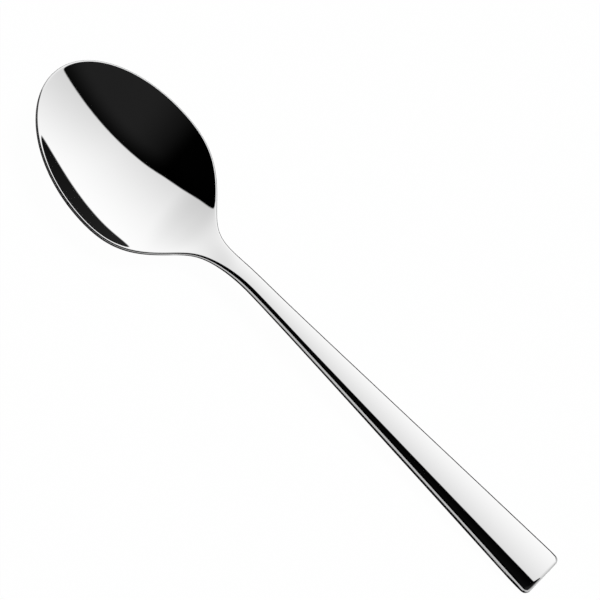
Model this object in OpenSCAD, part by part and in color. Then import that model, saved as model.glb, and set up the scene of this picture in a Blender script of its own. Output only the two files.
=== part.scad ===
// Soup spoon, pressed and forged in one piece from a stainless steel blank.
// Origin: on the table, under the middle of the spoon's length. +X runs from the bowl's tip to the
// handle's end, +Z up. The spoon lies as on a table, on its bowl and on the flat under the handle's end.
// It is a skin between two height fields, the upper and the lower face, over one plan outline.

/* [Whole spoon] */
// Overall length, from the bowl's tip to the handle's end
spoon_l = 200; // [180:1:230]

/* [Bowl] */
// Width of the bowl at its widest place
bowl_w = 47.5; // [38:0.1:54]
// Distance from the tip to the widest place
tip_l = 34.2; // [28:0.2:42]
// Distance from the widest place to the heel, where the bowl's sides run out into the neck
heel_l = 28.4; // [24:0.2:36]
// Depth of the hollow below the rim's edge
bowl_d = 7.5; // [5.5:0.1:11]
// Height by which the tip's rim stands above the rim half way along the bowl
tip_rise = 6.7; // [0:0.1:8]
// Height by which the rim at the heel lies below the rim half way along the bowl
heel_drop = 4; // [0:0.1:4.5]
// Thickness of the metal at the rim
rim_t = 1.6; // [1.3:0.05:2]
// Thickness of the metal in the middle of the bowl
floor_t = 2; // [1.3:0.05:2.6]
// Radius of the rim's upper and lower rounding
rim_r = 0.6; // [0.3:0.05:0.6]
// Width of the rim's land, from the outline to where the hollow starts
land_w = 0.45; // [0.3:0.05:2]

/* [Handle] */
// Width of the handle at its end
end_w = 15.4; // [12:0.1:20]
// Width that the handle's straight sides would reach if carried back to the heel
taper_w = 3; // [2:0.1:5]
// Size of the fillet between the bowl's sides and the neck
fillet_r = 13.2; // [8:0.2:15]
// Height of the side face at the handle's end
end_t = 2.8; // [2.2:0.1:4]
// Height of the side face at the neck, from where it grows along the handle
neck_t = 2.3; // [2:0.1:3.4]
// Length of the flat under the handle's end, on which it rests
foot_l = 6.5; // [4:0.5:20]
// Height of the neck's edge above the rim half way along the bowl
neck_rise = 0.6; // [0:0.1:4]
// Height by which the handle arches over a straight line from neck to end
arch_h = 0.3; // [0:0.1:2]
// Length over which the bowl's hollow turns into the handle
step_l = 29.8; // [20:0.2:34]
// Distance from the heel to the middle of that stretch
step_back = 8.2; // [8:0.2:14]
// Length over which the handle's crown rises, from the start of that stretch
crown_l = 26.5; // [16:0.5:34]
// Radius of the handle's long upper and lower edges
edge_r = 0.9; // [0.3:0.05:1]
// Radius of the two corners at the handle's end, seen from above
corner_r = 2; // [1:0.1:3]
// Radius of the upper and lower rounding at the handle's end
end_r = 1.1; // [0.5:0.05:1.1]

/* [Hidden] */

// Exponent of the heel's outline: more makes the heel fuller
heel_n = 3.4;
// Height of the handle's crown as a share of its half width, at the neck and at the end
neck_crown_share = 0.127;
end_crown_share = 0.178;
// How fast the side face grows from the neck: a power of the distance left to the end
thick_n = 3;
// Softness of the land's inner edge as a share of the hollow
land_soft_share = 0.015;

tip_x = -spoon_l / 2;
end_x = spoon_l / 2;
wide_x = tip_x + tip_l;
heel_x = wide_x + heel_l;
foot_x = end_x - foot_l;
step_from = heel_x + step_back - step_l / 2;
step_to = heel_x + step_back + step_l / 2;
half_w = bowl_w / 2;

// Smooth maximum of v and zero, w wide: the branch of a hyperbola
function soft(v, w) = (v + sqrt(v * v + w * w)) / 2;

// Smooth step from 0 to 1 with level ends
function ease(s) = let (c = min(max(s, 0), 1)) c * c * c * (10 - 15 * c + 6 * c * c);

// Half width of the handle's straight taper
function taper(x) = (taper_w + (end_w - taper_w) * (x - heel_x) / (end_x - heel_x)) / 2;

// Height of the heel's curve before its fillet, chosen so that the fillet leaves bowl_w as it is
crest = half_w - taper(wide_x);
crest_w = half_w - fillet_r * fillet_r / (4 * crest);

// Share of the heel's curve that is a parabola, chosen so that it bends at the widest place as the tip does
crest_v = crest_w - taper(wide_x);
crest_slope = (1 + crest_v / norm([crest_v, fillet_r])) / 2;
round_share = half_w * pow(heel_l / tip_l, 2) / (2 * crest_w * crest_slope);
function heel_fall(u) = round_share * u * u + (1 - round_share) * pow(u, heel_n);
function heel_curve(x) = crest_w * (1 - heel_fall((x - wide_x) / heel_l));

// Half width in plan without the corners at the end: an ellipse up to the widest place,
// then the heel's curve run softly into the taper
function tip_width(x) = half_w * sqrt(max(1 - pow((wide_x - x) / tip_l, 2), 0));
function heel_width(x) = taper(x) + soft(heel_curve(x) - taper(x), fillet_r);
function side(x) = x < wide_x ? tip_width(x) : heel_width(x);

// The outline's half width times its slope, which stays finite at the tip
slope_e = spoon_l / 20000;
function tip_lean(x) = half_w * half_w * (wide_x - x) / (tip_l * tip_l);
function heel_lean(x) = side(x) * (heel_width(x + slope_e) - heel_width(x)) / slope_e;
function lean(x) = x < wide_x ? tip_lean(x) : heel_lean(x);

// Half width with the corners
function corner_cut(x) = max(corner_r - (end_x - x), 0);
function half(x) = side(x) - corner_r + sqrt(corner_r * corner_r - pow(corner_cut(x), 2));

// 0 in the bowl, 1 on the handle
function turn(x) = ease((x - step_from) / step_l);

// Height of the crown in the middle of the handle
function crown_share(x) = let (u = (x - heel_x) / (end_x - heel_x))
    neck_crown_share + (end_crown_share - neck_crown_share) * u;
function crown(x) = ease((x - step_from) / crown_l) * crown_share(x) * side(x);

// Height of the rim's edge against the rim half way along the bowl: a parabola through three heights
function rim_rel(x) = let (s = (x - tip_x) / (heel_x - tip_x))
    tip_rise * (1 - s) * (1 - 2 * s) - heel_drop * s * (2 * s - 1);

// Depth under the rim as a share, 0 at the outline and 1 in the middle of the widest place: the bowl
// is a paraboloid, so the share m is the half width squared less y squared, over half_w squared
function area(x, share) = pow(side(x) / half_w, 2) * (1 - share * share);

// Metal thickness in the bowl
function wall(m) = rim_t + (floor_t - rim_t) * m;

// Lowest place under the bowl, which sets how high the rim stands above the table
function under_rel(x) = rim_rel(x) - (1 - turn(x)) * (bowl_d * area(x, 0) + wall(area(x, 0)));
low_steps = 200;
rim_z = -min([for (i = [0:low_steps]) under_rel(tip_x + (heel_x - tip_x) * i / low_steps)]);
neck_z = rim_z + neck_rise;

// Height of the handle's edge, then of the edge along the whole spoon
function handle_edge(x) = let (u = (x - heel_x) / (end_x - heel_x))
    neck_z + (end_t - neck_z) * u + 4 * arch_h * u * (1 - u);
function edge(x) = let (r = rim_z + rim_rel(x)) r + (handle_edge(x) - r) * turn(x);
side_t = edge(foot_x);

// Height of the side face along the handle
function left_share(x) = min(max((foot_x - x) / (foot_x - heel_x), 0), 1);
function side_face(x) = side_t - (side_t - neck_t) * pow(left_share(x), thick_n);

// Distance in from the outline to a point at the share v of the half width
function normal_l(x) = norm([side(x), lean(x)]);
function inset(x, v) = let (f = v * half(x) / side(x))
    let (ds = (1 - f * f) * side(x) * side(x) / (2 * normal_l(x)))
    corner_r - norm([max(corner_r - ds, 0), corner_cut(x)]);

// Drop of a rounded edge of radius r at the distance d from the outline
function drop(d, r) = r - sqrt(r * r - pow(min(max(r - d, 0), r), 2));
function end_turn(x) = ease((x - end_x) / end_r + 3);
function round_r(x) = rim_r + (edge_r - rim_r) * turn(x) + (end_r - edge_r) * end_turn(x);

// Depth of the hollow as a share: it starts at the land's inner edge, where m is land_m
function land_m(x) = 2 * land_w * normal_l(x) / (half_w * half_w);
function hollow(m, land) = soft(m - land, land_soft_share) / (1 - land_m(wide_x));

// The two height fields
function upper(x, v) = let (f = v * half(x) / side(x), t = turn(x), m = area(x, f))
    edge(x) - (1 - t) * bowl_d * hollow(m, land_m(x))
    + crown(x) * (1 - f * f) - drop(inset(x, v), round_r(x));
function lower(x, v) = let (f = v * half(x) / side(x), t = turn(x), m = area(x, f))
    (x > foot_x ? 0 : edge(x) - (1 - t) * (bowl_d * m + wall(m)) - t * side_face(x))
    + drop(inset(x, v), round_r(x));

// Stations along the spoon: close together at the tip, over the heel and in the end's rounding
tip_shares = [0.01, 0.06, 0.2, 0.5, 1];
first_angle = 15;
tip_rings = 13;
heel_rings = 30;
handle_rings = 11;
end_shares = [1, 0.62, 0.35, 0.16, 0.05, 0];
stations = [
    for (s = tip_shares) tip_x + rim_r * s,
    for (i = [0:tip_rings - 1]) wide_x - tip_l * cos(first_angle + (90 - first_angle) * i / tip_rings),
    for (i = [0:heel_rings - 1]) wide_x + (step_to - wide_x) * i / heel_rings,
    for (i = [0:handle_rings]) step_to + (foot_x - step_to) * i / handle_rings,
    for (s = end_shares) end_x - corner_r * s
];

// Places across a station, as shares of the half width: close together over the rounding and the land
function edge_places(r) = [0, 0.13 * r, 0.5 * r, r, r + land_w, 2 * (r + land_w)];
least_step_share = 0.1;
span = 14;
function near_edge(x) = let (d = edge_places(round_r(x)), k = 2 * normal_l(x) / pow(side(x), 2))
    [for (i = [0:len(d) - 1]) sqrt(max(1 - k * d[i], pow(1 - least_step_share * i, 2)))];
function across(x) = let (e = near_edge(x), n = len(e), inner = e[n - 1]) [
    for (i = [0:n - 1]) -e[i],
    for (i = [1:span - 1]) inner * (2 * i / span - 1),
    for (i = [n - 1:-1:0]) e[i]
];

// One closed skin: each ring runs over the upper face and back under the lower one
module spoon() {
    rows = [for (x = stations) across(x)];
    n = len(rows[0]);
    ring = 2 * n;
    last = len(stations) - 1;
    points = [
        for (i = [0:last]) each concat(
            [for (j = [0:n - 1]) [stations[i], rows[i][j] * half(stations[i]), upper(stations[i], rows[i][j])]],
            [for (j = [n - 1:-1:0]) [stations[i], rows[i][j] * half(stations[i]), lower(stations[i], rows[i][j])]]
        )
    ];
    sides = [
        for (i = [0:last - 1]) for (j = [0:ring - 1])
            let (a = i * ring + j, b = i * ring + (j + 1) % ring)
            each [[a, b, b + ring], [a, b + ring, a + ring]]
    ];
    caps = [
        for (j = [0:n - 2]) each [
            [j, ring - 1 - j, ring - 2 - j],
            [j, ring - 2 - j, j + 1],
            [last * ring + j, last * ring + ring - 2 - j, last * ring + ring - 1 - j],
            [last * ring + j, last * ring + j + 1, last * ring + ring - 2 - j]
        ]
    ];
    color("silver") polyhedron(points = points, faces = concat(sides, caps), convexity = 6);
}

spoon();
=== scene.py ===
import math

import bpy
import numpy as np
from mathutils import Matrix, Vector


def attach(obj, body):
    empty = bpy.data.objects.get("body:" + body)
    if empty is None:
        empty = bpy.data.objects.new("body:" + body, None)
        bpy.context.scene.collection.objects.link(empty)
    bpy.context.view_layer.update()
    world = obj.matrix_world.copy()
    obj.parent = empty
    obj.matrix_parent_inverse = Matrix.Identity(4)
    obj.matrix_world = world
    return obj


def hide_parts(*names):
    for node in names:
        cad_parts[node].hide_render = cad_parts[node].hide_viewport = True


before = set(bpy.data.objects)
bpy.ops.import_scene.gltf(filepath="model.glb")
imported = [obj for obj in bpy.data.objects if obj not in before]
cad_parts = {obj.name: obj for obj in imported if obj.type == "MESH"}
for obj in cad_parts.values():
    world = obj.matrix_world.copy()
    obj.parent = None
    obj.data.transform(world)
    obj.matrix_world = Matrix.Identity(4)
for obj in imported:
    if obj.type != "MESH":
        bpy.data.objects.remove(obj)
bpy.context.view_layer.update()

mm = 0.001


# An sRGB hex colour as the linear colour that a shader takes
def linear(hexColour):
    parts = [int(hexColour[i:i + 2], 16) / 255 for i in (1, 3, 5)]
    return [c / 12.92 if c <= 0.04045 else ((c + 0.055) / 1.055) ** 2.4 for c in parts] + [1.0]


# Adds one node with its settings and its inputs, which come by name or in the node's own order.
# An input is a plain value, another node's output, or another node, which stands for its first output.
def addNode(tree, kind, inputs=(), **settings):
    node = tree.nodes.new("ShaderNode" + kind)
    for name, value in settings.items():
        setattr(node, name, value)
    for name, value in inputs.items() if isinstance(inputs, dict) else enumerate(inputs):
        if isinstance(value, bpy.types.Node):
            value = value.outputs[0]
        if isinstance(value, bpy.types.NodeSocket):
            tree.links.new(value, node.inputs[name])
        else:
            node.inputs[name].default_value = value
    return node


def newMaterial(name):
    material = bpy.data.materials.new(name)
    material.use_nodes = True
    material.node_tree.nodes.clear()
    return material, material.node_tree


def addMesh(name, points, faces):
    mesh = bpy.data.meshes.new(name)
    mesh.from_pydata(points, [], faces)
    piece = bpy.data.objects.new(name, mesh)
    bpy.context.scene.collection.objects.link(piece)
    return piece


# Camera
print("camera")
view = {
    # Degrees: the tilt of the view from straight down towards the spoon's near side, its lean towards
    # the handle's end and the turn of the picture
    "tilt": 26.914, "lean": 2.172, "roll": -2.599,
    # Millimetres: the camera's distance from the place that it looks at
    "distance": 2157.3, "target": (-5.223, 11.056, 0.0),
    # The direction of the spoon's length in the picture, right and up
    "axis": (0.68903, 0.72473),
    # The picture's width in pixels, and pixels for each millimetre at the target
    "picture": 600, "pixelsPerMm": 3.48643,
    # The sensor's width in millimetres, and how near and how far the camera sees, in metres
    "sensor": 36.0, "clip": (0.05, 50),
}


# The way back to the camera from tilt and lean, then the picture's right and up, turned so that
# the spoon's length lies along the axis given in the picture
def aimCamera(view):
    tilt, lean, roll = (math.radians(view[k]) for k in ("tilt", "lean", "roll"))
    back = Vector((math.sin(lean), -math.sin(tilt) * math.cos(lean), math.cos(tilt) * math.cos(lean)))
    along = (Vector((1, 0, 0)) - back.x * back).normalized()
    across = back.cross(along)
    along, across = (math.cos(roll) * along + math.sin(roll) * across,
                     math.cos(roll) * across - math.sin(roll) * along)
    a, b = view["axis"]
    right, up = a * along + b * across, a * across - b * along
    matrix = Matrix((right, up, back)).transposed().to_4x4()
    matrix.translation = (Vector(view["target"]) + view["distance"] * back) * mm
    camera = bpy.data.objects.new("camera", bpy.data.cameras.new("camera"))
    camera.data.sensor_width = view["sensor"]
    camera.data.lens = view["pixelsPerMm"] * view["distance"] * view["sensor"] / view["picture"]
    camera.data.clip_start, camera.data.clip_end = view["clip"]
    camera.matrix_world = matrix
    bpy.context.scene.collection.objects.link(camera)
    bpy.context.scene.camera = camera


aimCamera(view)

# Studio
print("studio")
studio = {
    "floorSize": 8.0, "floorColour": "#E0E0E0",
    "white": "#FFFFFF",             # the sky, and the table as the camera sees it
    "floorLift": 0.985,             # how much of the floor's white the camera gets without shadow
    "floorGloss": 0.03,             # the same in the steel, which shows the table almost as it is lit
    # The panel's brightness, and its falls towards the handle's end and the bowl's tip: from where to
    # where that way a fall runs, and the share that is lost
    "panelLeast": 1.053, "panelRise": 0.418,
    "endFall": (0.345, 1.0, 0.221), "tipFall": (0.364, 0.639, 0.178),
    # The panel's lower edge: its highest place in degrees above the table, where along x that is, and how
    # fast it bows down to both sides
    "panelFrom": 10.7, "panelMid": 0.09, "panelBow": 2.9,
    # The panel's two straight edges as the ways square to them, how softly they meet, and their blur
    "tipEdge": (-0.378, 1.0, -0.048), "endEdge": (0.008, 1.0, -0.021), "corner": 0.14,
    "edgeSoft": 0.012,
    # The black card: its least brightness, from where to where along x it rises and to what, and the
    # share that is left of it beside the panel with the distance over which the rest comes back
    "cardLevel": 0.0005, "cardRise": (-0.05, 0.5, 0.021), "cardFade": (0.2, 0.3),
    # A soft box past the handle's end, low over the table: from where to where along x it starts, its level
    "endBox": (0.86, 0.92, 0.4),
    # The gap under the panel: its brightness, how that changes along x, and how softly the gap starts
    "gapLevel": 0.019, "gapRise": -0.027, "gapSoft": 0.2,
    # The even fill, and the overhead lamp's strength, its size in degrees and the way towards it
    "fill": 0.12, "sun": 0.95, "sunAngle": 24.0, "sunWay": (0.0, 0.40, 1.0),
}


# 1 for the rays that show the camera the scene straight or through glass, 0 for all others
def seenStraight(tree, path):
    rays = (path.outputs["Is Camera Ray"], path.outputs["Is Transmission Ray"])
    return addNode(tree, "Math", rays, operation="MAXIMUM")


# The table, lit as it is for the light and the steel, and for the camera mostly plain white,
# so that the picture's ground is white and keeps a faint shadow
def buildFloor(studio):
    half = studio["floorSize"] / 2
    corners = [(-half, -half, 0), (half, -half, 0), (half, half, 0), (-half, half, 0)]
    floor = addMesh("floor", corners, [(0, 1, 2, 3)])
    material, tree = newMaterial("white table, matt laminate")
    matt = addNode(tree, "BsdfDiffuse", {"Color": linear(studio["floorColour"])})
    white = addNode(tree, "Emission", {"Color": linear(studio["white"])})
    path = addNode(tree, "LightPath")
    straight = seenStraight(tree, path)
    glossy = path.outputs["Is Glossy Ray"]
    share = addNode(tree, "Math", (glossy, studio["floorGloss"]), operation="MULTIPLY")
    share = addNode(tree, "Math", (straight, studio["floorLift"], share), operation="MULTIPLY_ADD")
    mix = addNode(tree, "MixShader", (share, matt, white))
    addNode(tree, "OutputMaterial", {"Surface": mix})
    floor.data.materials.append(material)


# A dark sheet laid on the table round the spoon, in millimetres: painted shadow, standing in for the
# spoon's shade on the table beneath and beside it, cut away beside the handle's near side where that shade
# ends. The steel shows it as the dark line along its rounded edges, and only the steel sees it.
card = {
    "lift": 0.1, "colour": "#2B2B2B",
    "outline": ((-180, -170), (-37, -170), (-37, -8.8), (-25, -8.2), (-12, -7.4), (10, -7.55), (40, -7.95),
                (70, -8.35), (90, -8.15), (98, -8.9), (101, -12), (101, 150), (-180, 150)),
}


def buildShadowCard(card):
    points = [(x * mm, y * mm, card["lift"] * mm) for x, y in card["outline"]]
    sheet = addMesh("painted_shadow_card", points, [tuple(range(len(points)))])
    for ray in ("visible_camera", "visible_diffuse", "visible_shadow", "visible_transmission"):
        setattr(sheet, ray, False)
    # Painted shadow: a near black matt sheet that only the steel sees, in place of the table's shade under
    # the spoon
    material, tree = newMaterial("painted shadow card, matt")
    matt = addNode(tree, "BsdfDiffuse", {"Color": linear(card["colour"])})
    addNode(tree, "OutputMaterial", {"Surface": matt})
    sheet.data.materials.append(material)


# The sky by direction d: plain white for the camera, an even fill for all else, and in the steel this.
# A soft white panel over the far side, as bright as panelLeast + panelRise * d.y, less a share that grows
# with d.x towards its two ends. It lies where d . tipEdge and d . endEdge are both above 0, two straight
# edges that meet softly in a corner over the spoon, and where d.z is above sin(panelFrom) less panelBow
# times the fourth power of d.x - panelMid. The rest is a black card, a little lighter where d.x grows and
# away from the panel, with the soft box where d.x is near 1, and gapLevel + gapRise * d.x in the gap under
# the panel. Each Map Range takes a value, from where to where it runs, and what it gives at both.
def buildWorld(studio):
    world = bpy.data.worlds.new("studio")
    bpy.context.scene.world = world
    world.use_nodes = True
    tree = world.node_tree
    tree.nodes.clear()
    eased = {"interpolation_type": "SMOOTHSTEP"}
    way = addNode(tree, "TexCoord").outputs["Generated"]
    parts = addNode(tree, "SeparateXYZ", {"Vector": way})
    x, y, z = (parts.outputs[k] for k in "XYZ")

    # The panel's brightness
    panel = addNode(tree, "Math", (y, studio["panelRise"], studio["panelLeast"]), operation="MULTIPLY_ADD")
    toTip = addNode(tree, "Math", (x, -1.0), operation="MULTIPLY")
    for along, (start, stop, fall) in ((x, studio["endFall"]), (toTip, studio["tipFall"])):
        left = addNode(tree, "MapRange", (along, start, stop, 1.0, 1.0 - fall), **eased)
        panel = addNode(tree, "Math", (panel, left), operation="MULTIPLY")

    # Where the panel is: 1 within its edges, 0 outside
    within = [addNode(tree, "VectorMath", (way, studio[k]), operation="DOT_PRODUCT").outputs["Value"]
              for k in ("tipEdge", "endEdge")]
    inside = addNode(tree, "Math", (*within, studio["corner"]), operation="SMOOTH_MIN")
    aside = addNode(tree, "Math", (x, studio["panelMid"]), operation="SUBTRACT")
    square = addNode(tree, "Math", (aside, aside), operation="MULTIPLY")
    fourth = addNode(tree, "Math", (square, square), operation="MULTIPLY")
    above = addNode(tree, "Math", (z, math.sin(math.radians(studio["panelFrom"]))), operation="SUBTRACT")
    above = addNode(tree, "Math", (fourth, studio["panelBow"], above), operation="MULTIPLY_ADD")
    nearest = addNode(tree, "Math", (inside, above), operation="MINIMUM")
    blur = studio["edgeSoft"]
    edge = addNode(tree, "MapRange", (nearest, -blur, blur, 0.0, 1.0), **eased)

    # The dark rest: the card, the soft box past the handle's end and the gap
    start, stop, most = studio["cardRise"]
    dark = addNode(tree, "MapRange", (x, start, stop, studio["cardLevel"], most), **eased)
    least, reach = studio["cardFade"]
    outside = addNode(tree, "Math", (inside, -1.0), operation="MULTIPLY")
    fade = addNode(tree, "MapRange", (outside, 0.0, reach, least, 1.0), **eased)
    dark = addNode(tree, "Math", (dark, fade), operation="MULTIPLY")
    start, stop, glow = studio["endBox"]
    box = addNode(tree, "MapRange", (x, start, stop, 0.0, glow), **eased)
    dark = addNode(tree, "Math", (dark, box), operation="MAXIMUM")
    gap = addNode(tree, "Math", (x, studio["gapRise"], studio["gapLevel"]), operation="MULTIPLY_ADD")
    gap = addNode(tree, "Math", (gap, 0.0), operation="MAXIMUM")
    under = addNode(tree, "MapRange", (inside, 0.0, studio["gapSoft"], 0.0, 1.0), **eased)
    dark = addNode(tree, "Mix", {"Factor": under, "A": dark, "B": gap}, data_type="FLOAT")

    # What each ray sees
    seen = addNode(tree, "Mix", {"Factor": edge, "A": dark, "B": panel}, data_type="FLOAT")
    path = addNode(tree, "LightPath")
    glossy = path.outputs["Is Glossy Ray"]
    level = addNode(tree, "Mix", {"Factor": glossy, "A": studio["fill"], "B": seen}, data_type="FLOAT")
    straight = seenStraight(tree, path)
    level = addNode(tree, "Mix", {"Factor": straight, "A": level, "B": 1.0}, data_type="FLOAT")
    sky = addNode(tree, "Background", {"Color": linear(studio["white"]), "Strength": level})
    addNode(tree, "OutputWorld", {"Surface": sky})


# One large overhead lamp, a little to the far side, whose shadow keeps close to the spoon
def buildLamp(studio):
    lamp = bpy.data.lights.new("overhead", "SUN")
    lamp.energy = studio["sun"] * math.pi
    lamp.angle = math.radians(studio["sunAngle"])
    piece = bpy.data.objects.new("overhead", lamp)
    piece.rotation_euler = Vector(studio["sunWay"]).to_track_quat("Z", "Y").to_euler()
    piece.visible_glossy = False
    bpy.context.scene.collection.objects.link(piece)


buildFloor(studio)
buildShadowCard(card)
buildWorld(studio)
buildLamp(studio)
bpy.context.scene.view_settings.view_transform = "Standard"

# Spoon
print("spoon")
# Sizes in millimetres, and shares and powers of no unit
spoon = {
    "spoonL": 200.0,
    # The bowl: its width, from the tip to the widest place and on to the heel, the hollow's depth, and how
    # far the rim stands higher at the tip and lower at the heel than half way
    "bowlW": 47.5, "tipL": 34.2, "heelL": 28.4, "bowlD": 7.5, "tipRise": 6.7, "heelDrop": 4.0,
    # The metal at the rim and in the middle, the rim's rounding, the land beside it and how softly the
    # hollow starts, and the power of the heel's outline
    "rimT": 1.6, "floorT": 2.0, "rimR": 0.6, "landW": 0.45, "landSoft": 0.015, "heelN": 3.4,
    # The handle: its width at the end, and at the heel if its sides went on straight, the fillet to the
    # bowl, the side face at the end and at the neck with the power by which it grows, and the foot
    "endW": 15.4, "taperW": 3.0, "filletR": 13.2, "endT": 2.8, "neckT": 2.3, "thickN": 3, "footL": 6.5,
    # Its edge over the rim at the neck, its arch, and the stretch where the bowl turns into the handle
    "neckRise": 0.6, "archH": 0.3, "stepL": 29.8, "stepBack": 8.2,
    # Its crown as a share of its half width at neck and end, and the length over which that rises
    "crownShares": (0.127, 0.178), "crownL": 26.5,
    # Its long edges' rounding, its corners, and its end's rounding, which starts to take over endTurns of
    # its radii before the end
    "edgeR": 0.9, "cornerR": 2.0, "endR": 1.1, "endTurns": 3,
    # The mesh: rings at the tip, round its ellipse, over the heel, along the handle and round the corners,
    # places across over the rounding and over the middle, the first ring's place in the tip's rounding,
    # and the most that the rounding takes of a ring
    "rings": (16, 90, 84, 66, 18), "places": (16, 100), "firstRing": 0.006, "edgeShare": 0.45,
    # The steps in which the bowl's lowest place is looked for, and the step for the outline's slope
    "lowSteps": 200, "slopeStep": 0.01,
}


# A smooth maximum of v and zero, w wide
def soft(v, w):
    return (v + np.sqrt(v * v + w * w)) / 2


# A smooth step from 0 to 1 with level ends
def ease(s):
    c = np.clip(s, 0, 1)
    return c ** 3 * (10 - 15 * c + 6 * c * c)


# Marks along the spoon: the tip, the widest place, the heel, where the foot starts, and the end
def spoonMarks(p):
    tipX, endX = -p["spoonL"] / 2, p["spoonL"] / 2
    wideX = tipX + p["tipL"]
    return tipX, wideX, wideX + p["heelL"], endX - p["footL"], endX


# Rings along the spoon: by the rounding's arc at the tip, by angle round the tip's ellipse,
# evenly over the heel and the handle, and by the corner's arc at the end
def spoonRings(p):
    tipX, wideX, heelX, _, endX = spoonMarks(p)
    stepTo = heelX + p["stepBack"] + p["stepL"] / 2
    nTip, nEllipse, nHeel, nHandle, nEnd = p["rings"]
    first = p["firstRing"] + (1 - p["firstRing"]) * (1 - np.cos(np.linspace(0, np.pi / 2, nTip)))
    angle = np.arccos(1 - p["rimR"] / p["tipL"])
    return np.concatenate([
        tipX + p["rimR"] * first[:-1],
        wideX - p["tipL"] * np.cos(np.linspace(angle, np.pi / 2, nEllipse))[:-1],
        np.linspace(wideX, stepTo, nHeel)[:-1],
        np.linspace(stepTo, endX - p["cornerR"], nHandle)[:-1],
        endX - p["cornerR"] * (1 - np.sin(np.linspace(0, np.pi / 2, nEnd))),
    ])


# Places across each ring as shares of the outline's half width: by angle over the rounding, then evenly
# to twice the rounding and the land, then evenly over the middle. The distance d in from the outline is
# at the share whose square is 1 less 2 d times the outline's normal over the half width squared.
def ringPlaces(p, side, normalL, radius):
    n, middle = p["places"]
    arc = radius * (1 - np.cos(np.linspace(0, np.pi / 2, n)))
    beyond = radius + (2 * p["landW"] + radius) * np.linspace(0, 1, n // 2 + 1)[1:]
    near = np.concatenate([arc, beyond], 1)
    least = (1 - p["edgeShare"] * np.linspace(0, 1, near.shape[1])) ** 2
    v = np.sqrt(np.maximum(1 - 2 * normalL * near / side ** 2, least))
    inner = v[:, -1:] * np.linspace(1, -1, middle)[1:-1]
    return np.concatenate([v, inner, -v[:, ::-1]], 1)[:, ::-1]


# The spoon is a skin between an upper and a lower height field over one plan outline, for a column of x.
# The outline's half width: an ellipse to the widest place, then a curve run softly into a straight taper.
# Upper face: the edge's height, less the hollow's depth times m, which is the outline's half width squared
# less y squared as a share, plus the handle's crown, a parabola. Lower face: the same hollow less the
# metal's thickness, turning into a flat below the handle's side face, and 0 over the foot. Both faces draw
# in by a circle's arc along the outline.
def spoonFaces(p, x):
    tipX, wideX, heelX, footX, endX = spoonMarks(p)
    stepFrom = heelX + p["stepBack"] - p["stepL"] / 2
    halfW = p["bowlW"] / 2

    def taper(x):
        return (p["taperW"] + (p["endW"] - p["taperW"]) * (x - heelX) / (endX - heelX)) / 2

    # The heel's curve, set so that the fillet leaves the width as it is and the bend runs on from the tip
    crest = halfW - taper(wideX)
    crestW = halfW - p["filletR"] ** 2 / (4 * crest)
    crestV = crestW - taper(wideX)
    crestSlope = (1 + crestV / math.hypot(crestV, p["filletR"])) / 2
    roundShare = halfW * (p["heelL"] / p["tipL"]) ** 2 / (2 * crestW * crestSlope)

    def tipWidth(x):
        return halfW * np.sqrt(np.maximum(1 - ((wideX - x) / p["tipL"]) ** 2, 0))

    def heelWidth(x):
        u = np.maximum((x - wideX) / p["heelL"], 0)
        curve = crestW * (1 - roundShare * u * u - (1 - roundShare) * u ** p["heelN"])
        return taper(x) + soft(curve - taper(x), p["filletR"])

    def sideOf(x):
        return np.where(x < wideX, tipWidth(x), heelWidth(x))

    def turnOf(x):
        return ease((x - stepFrom) / p["stepL"])

    def rimOf(x):
        s = (x - tipX) / (heelX - tipX)
        return p["tipRise"] * (1 - s) * (1 - 2 * s) - p["heelDrop"] * s * (2 * s - 1)

    def wall(m):
        return p["rimT"] + (p["floorT"] - p["rimT"]) * m

    # The rim's height comes from the bowl's lowest place, which lies on the table
    low = np.linspace(tipX, heelX, p["lowSteps"] + 1)
    lowArea = (sideOf(low) / halfW) ** 2
    rimZ = -np.min(rimOf(low) - (1 - turnOf(low)) * (p["bowlD"] * lowArea + wall(lowArea)))
    neckZ = rimZ + p["neckRise"]

    def edgeOf(x):
        u = (x - heelX) / (endX - heelX)
        handle = neckZ + (p["endT"] - neckZ) * u + 4 * p["archH"] * u * (1 - u)
        rim = rimZ + rimOf(x)
        return rim + (handle - rim) * turnOf(x)

    # The outline and its normal, the half width with the corners, the crown, the side face and the rounding
    side, turn, edge = sideOf(x), turnOf(x), edgeOf(x)
    tipLean = halfW ** 2 * (wideX - x) / p["tipL"] ** 2
    heelLean = side * (heelWidth(x + p["slopeStep"]) - heelWidth(x)) / p["slopeStep"]
    normalL = np.hypot(side, np.where(x < wideX, tipLean, heelLean))
    cut = np.maximum(p["cornerR"] - (endX - x), 0)
    half = side - p["cornerR"] + np.sqrt(p["cornerR"] ** 2 - cut ** 2)
    neckShare, endShare = p["crownShares"]
    crownShare = neckShare + (endShare - neckShare) * (x - heelX) / (endX - heelX)
    crown = ease((x - stepFrom) / p["crownL"]) * crownShare * side
    left = np.clip((footX - x) / (footX - heelX), 0, 1)
    footZ = edgeOf(footX)
    thick = footZ - (footZ - p["neckT"]) * left ** p["thickN"]
    endTurn = ease((x - endX) / p["endR"] + p["endTurns"])
    radius = p["rimR"] + (p["edgeR"] - p["rimR"]) * turn + (p["endR"] - p["edgeR"]) * endTurn

    # The two faces at the places across each ring
    share = ringPlaces(p, side, normalL, radius)
    f = share * (half / side)
    m = (side / halfW) ** 2 * (1 - f * f)
    fromEdge = (1 - f * f) * side ** 2 / (2 * normalL)
    inset = p["cornerR"] - np.hypot(np.maximum(p["cornerR"] - fromEdge, 0), cut)
    drop = radius - np.sqrt(radius ** 2 - np.clip(radius - inset, 0, radius) ** 2)
    land = 2 * p["landW"] * normalL / halfW ** 2
    deep = soft(m - land, p["landSoft"]) / (1 - 2 * p["landW"] / halfW)
    upper = edge - (1 - turn) * p["bowlD"] * deep + crown * (1 - f * f) - drop
    lower = np.where(x > footX, 0, edge - (1 - turn) * (p["bowlD"] * m + wall(m)) - turn * thick) + drop
    return share * half, upper, lower


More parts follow.
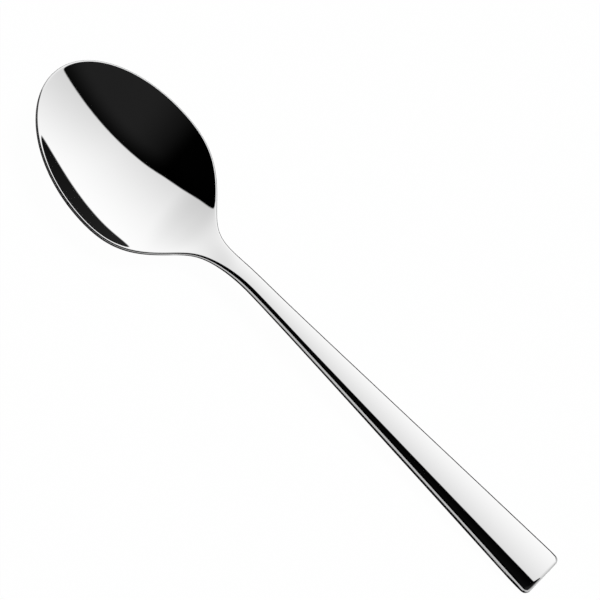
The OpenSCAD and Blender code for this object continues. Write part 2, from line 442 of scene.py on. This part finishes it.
# Rings joined into one closed skin: each runs over the upper face and back under the lower one
def buildSpoon(p):
    x = spoonRings(p)[:, None]
    y, upper, lower = spoonFaces(p, x)
    count, across = y.shape
    xs = np.repeat(x, across, 1)
    top = np.stack([xs, y, upper], 2)
    under = np.stack([xs, y, lower], 2)[:, ::-1]
    points = np.concatenate([top, under], 1).reshape(-1, 3) * mm
    ring = 2 * across
    start = np.arange(count - 1)[:, None] * ring
    a = start + np.arange(ring)
    b = start + (np.arange(ring) + 1) % ring
    skin = np.stack([a, b, b + ring, a + ring], 2).reshape(-1, 4)
    j = np.arange(across - 1)
    tip = np.stack([j, ring - 1 - j, ring - 2 - j, j + 1], 1)
    end = np.stack([j, j + 1, ring - 2 - j, ring - 1 - j], 1) + (count - 1) * ring
    faces = np.concatenate([skin, tip, end])
    piece = addMesh("soup_spoon", points, faces)
    piece.data.polygons.foreach_set("use_smooth", np.ones(len(faces), bool))
    piece.data.update()
    print("spoon:", len(points), "points,", 2 * len(faces), "triangles")
    return piece


# Steel
print("steel")
# 18/10 stainless steel, pressed, belt ground and buffed to a mirror: it shows the room almost sharp.
# Haze: the roughness moves between two low levels with a soft cloud where the buff has pressed less. Wear:
# thin straight hairlines, a cell pattern stretched along the spoon with only its ridges kept, a little
# rougher than the rest. Lines: a noise drawn 60 times longer than wide tilts the surface very slightly, as
# belt grinding along the spoon leaves it. Real lines lie about 0.05 mm apart, which is too fine to show
# here, so they are drawn 0.42 mm apart, about one and a half pixels. Waves: long shallow dents of the
# drop forging, which bend the reflections softly.
steel = {
    "colour": "#D6D6D6", "rough": (0.015, 0.03),
    # Pattern sizes and heights in millimetres, a size of three along the spoon, across it and up
    "cloudSize": 16.667, "hairSize": (71.43, 2.381, 2.381), "lineSize": (25.0, 0.41667, 0.41667),
    "lineDepth": 0.0004, "waveSize": 33.333, "waveDepth": 0.004,
    # Half a hairline's width as a share of its cell, which makes it 0.06 mm wide, and how rough it is, the
    # noise's levels between which the haze grows, and how many finer layers each noise has
    "hairWidth": 0.012, "hairRough": 0.015, "cloudLevels": (0.35, 0.65),
    "cloudDetail": 3.0, "lineDetail": 1.0, "waveDetail": 0.0,
}


def polishedSteel(steel):
    material, tree = newMaterial("18/10 stainless steel, mirror polished")
    at = addNode(tree, "TexCoord").outputs["Object"]
    cloudScale, waveScale = (1 / (steel[k] * mm) for k in ("cloudSize", "waveSize"))
    hairScale, lineScale = ([1 / (size * mm) for size in steel[k]] for k in ("hairSize", "lineSize"))

    # Haze and hairlines make the roughness
    cloud = addNode(tree, "TexNoise", {"Vector": at, "Scale": cloudScale, "Detail": steel["cloudDetail"]})
    haze = addNode(tree, "MapRange", (cloud.outputs["Fac"], *steel["cloudLevels"], *steel["rough"]))
    alongHairs = addNode(tree, "Mapping", {"Vector": at, "Scale": hairScale})
    cells = addNode(tree, "TexVoronoi", {"Vector": alongHairs, "Scale": 1.0}, feature="DISTANCE_TO_EDGE")
    fromEdge = cells.outputs["Distance"]
    hairs = addNode(tree, "MapRange", (fromEdge, 0.0, steel["hairWidth"], steel["hairRough"], 0.0))
    rough = addNode(tree, "Math", (haze, hairs), operation="ADD")

    # Waves and grinding lines tilt the surface
    waves = addNode(tree, "TexNoise", {"Vector": at, "Scale": waveScale, "Detail": steel["waveDetail"]})
    alongLines = addNode(tree, "Mapping", {"Vector": at, "Scale": lineScale})
    lines = addNode(tree, "TexNoise", {"Vector": alongLines, "Scale": 1.0, "Detail": steel["lineDetail"]})
    waves, lines = waves.outputs["Fac"], lines.outputs["Fac"]
    dented = addNode(tree, "Bump", {"Height": waves, "Distance": steel["waveDepth"] * mm})
    ground = addNode(tree, "Bump", {"Height": lines, "Distance": steel["lineDepth"] * mm, "Normal": dented})
    metal = addNode(tree, "BsdfPrincipled", {"Base Color": linear(steel["colour"]), "Metallic": 1.0,
                                             "Roughness": rough, "Normal": ground})
    addNode(tree, "OutputMaterial", {"Surface": metal})
    return material


piece = buildSpoon(spoon)
piece.data.materials.append(polishedSteel(steel))
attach(piece, "root")
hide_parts("spoon")
